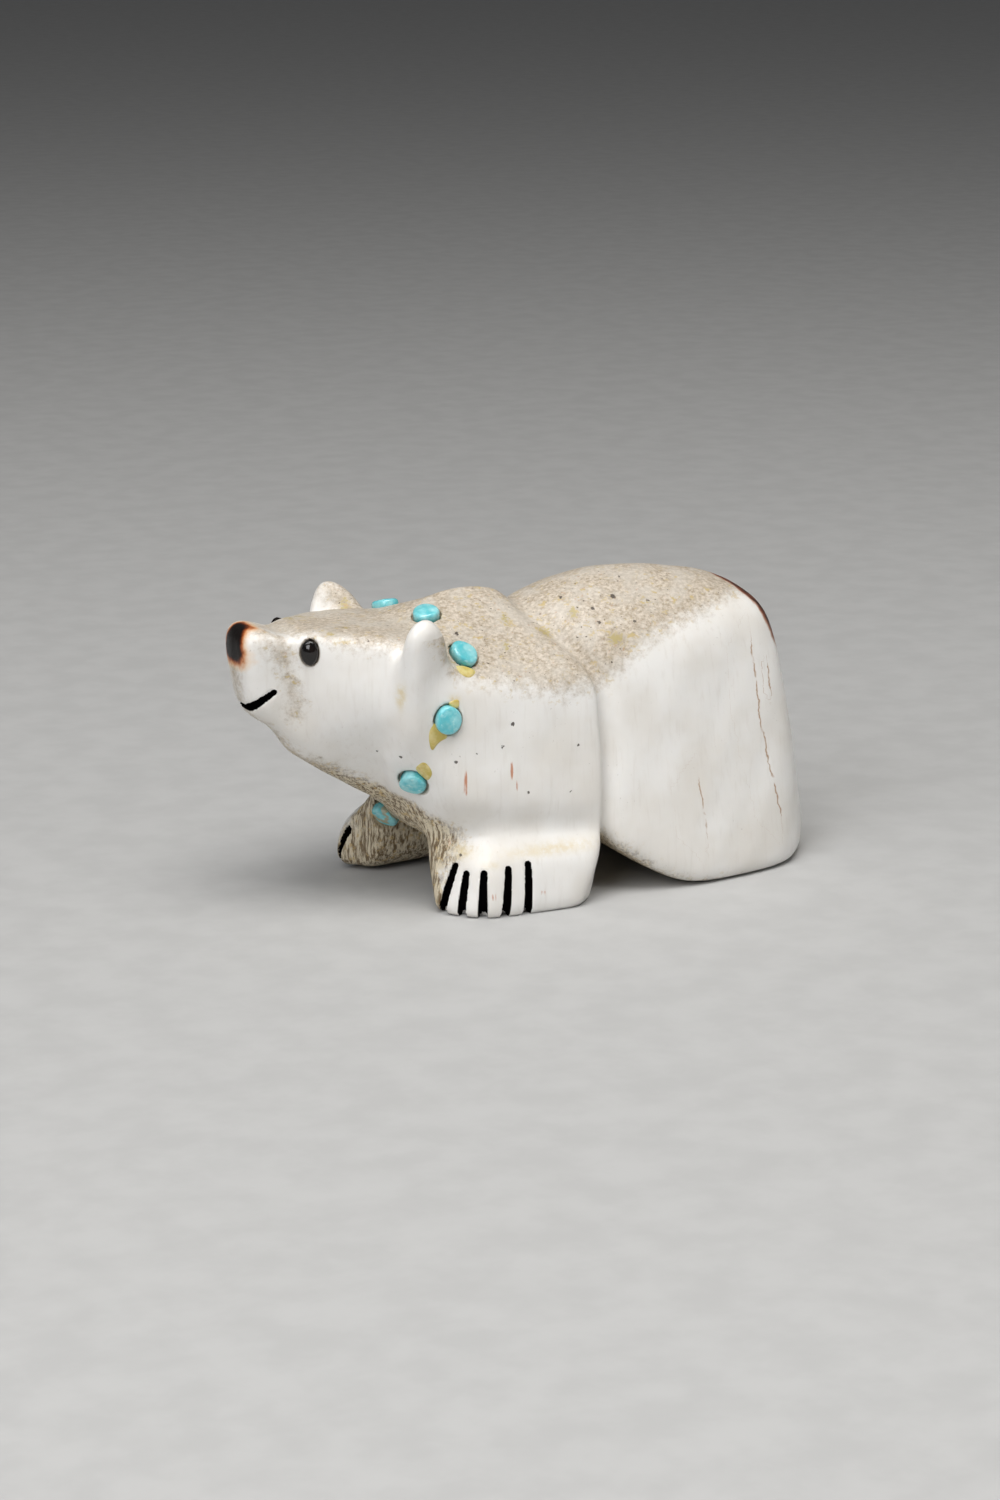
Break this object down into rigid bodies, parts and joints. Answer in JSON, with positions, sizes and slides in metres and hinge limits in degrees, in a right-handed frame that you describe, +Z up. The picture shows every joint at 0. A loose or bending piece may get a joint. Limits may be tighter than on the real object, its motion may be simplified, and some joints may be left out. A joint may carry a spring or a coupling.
{
  "type": "zuni bear fetish",
  "caption": "Small standing bear carved from antler, with inlaid jet eyes, a necklace of inlaid turquoise beads, and an incised mouth and claws.",
  "frame": {"origin": "on the surface that the bear stands on, under the middle of its bounding box", "axes": "+Z up, the bear looks along -X, its left flank is on the -Y side"},
  "size_m": [0.0718, 0.0298, 0.0355],
  "materials": {
    "antler": "polished cream antler with fine grain, tan porous marrow on the back, chest and belly, a scorched nose and blackened claw and mouth grooves",
    "turquoise": "polished blue-green turquoise with a lighter mottle",
    "jet": "polished black jet"
  },
  "bodies": {
    "root": {"bear_body": "antler", "turquoise_bead_01": "turquoise", "turquoise_bead_02": "turquoise", "turquoise_bead_03": "turquoise", "turquoise_bead_04": "turquoise", "turquoise_bead_05": "turquoise", "turquoise_bead_06": "turquoise", "turquoise_bead_07": "turquoise", "turquoise_bead_08": "turquoise", "turquoise_bead_09": "turquoise", "eye_left": "jet", "eye_right": "jet"}
  },
  "joints": []
}
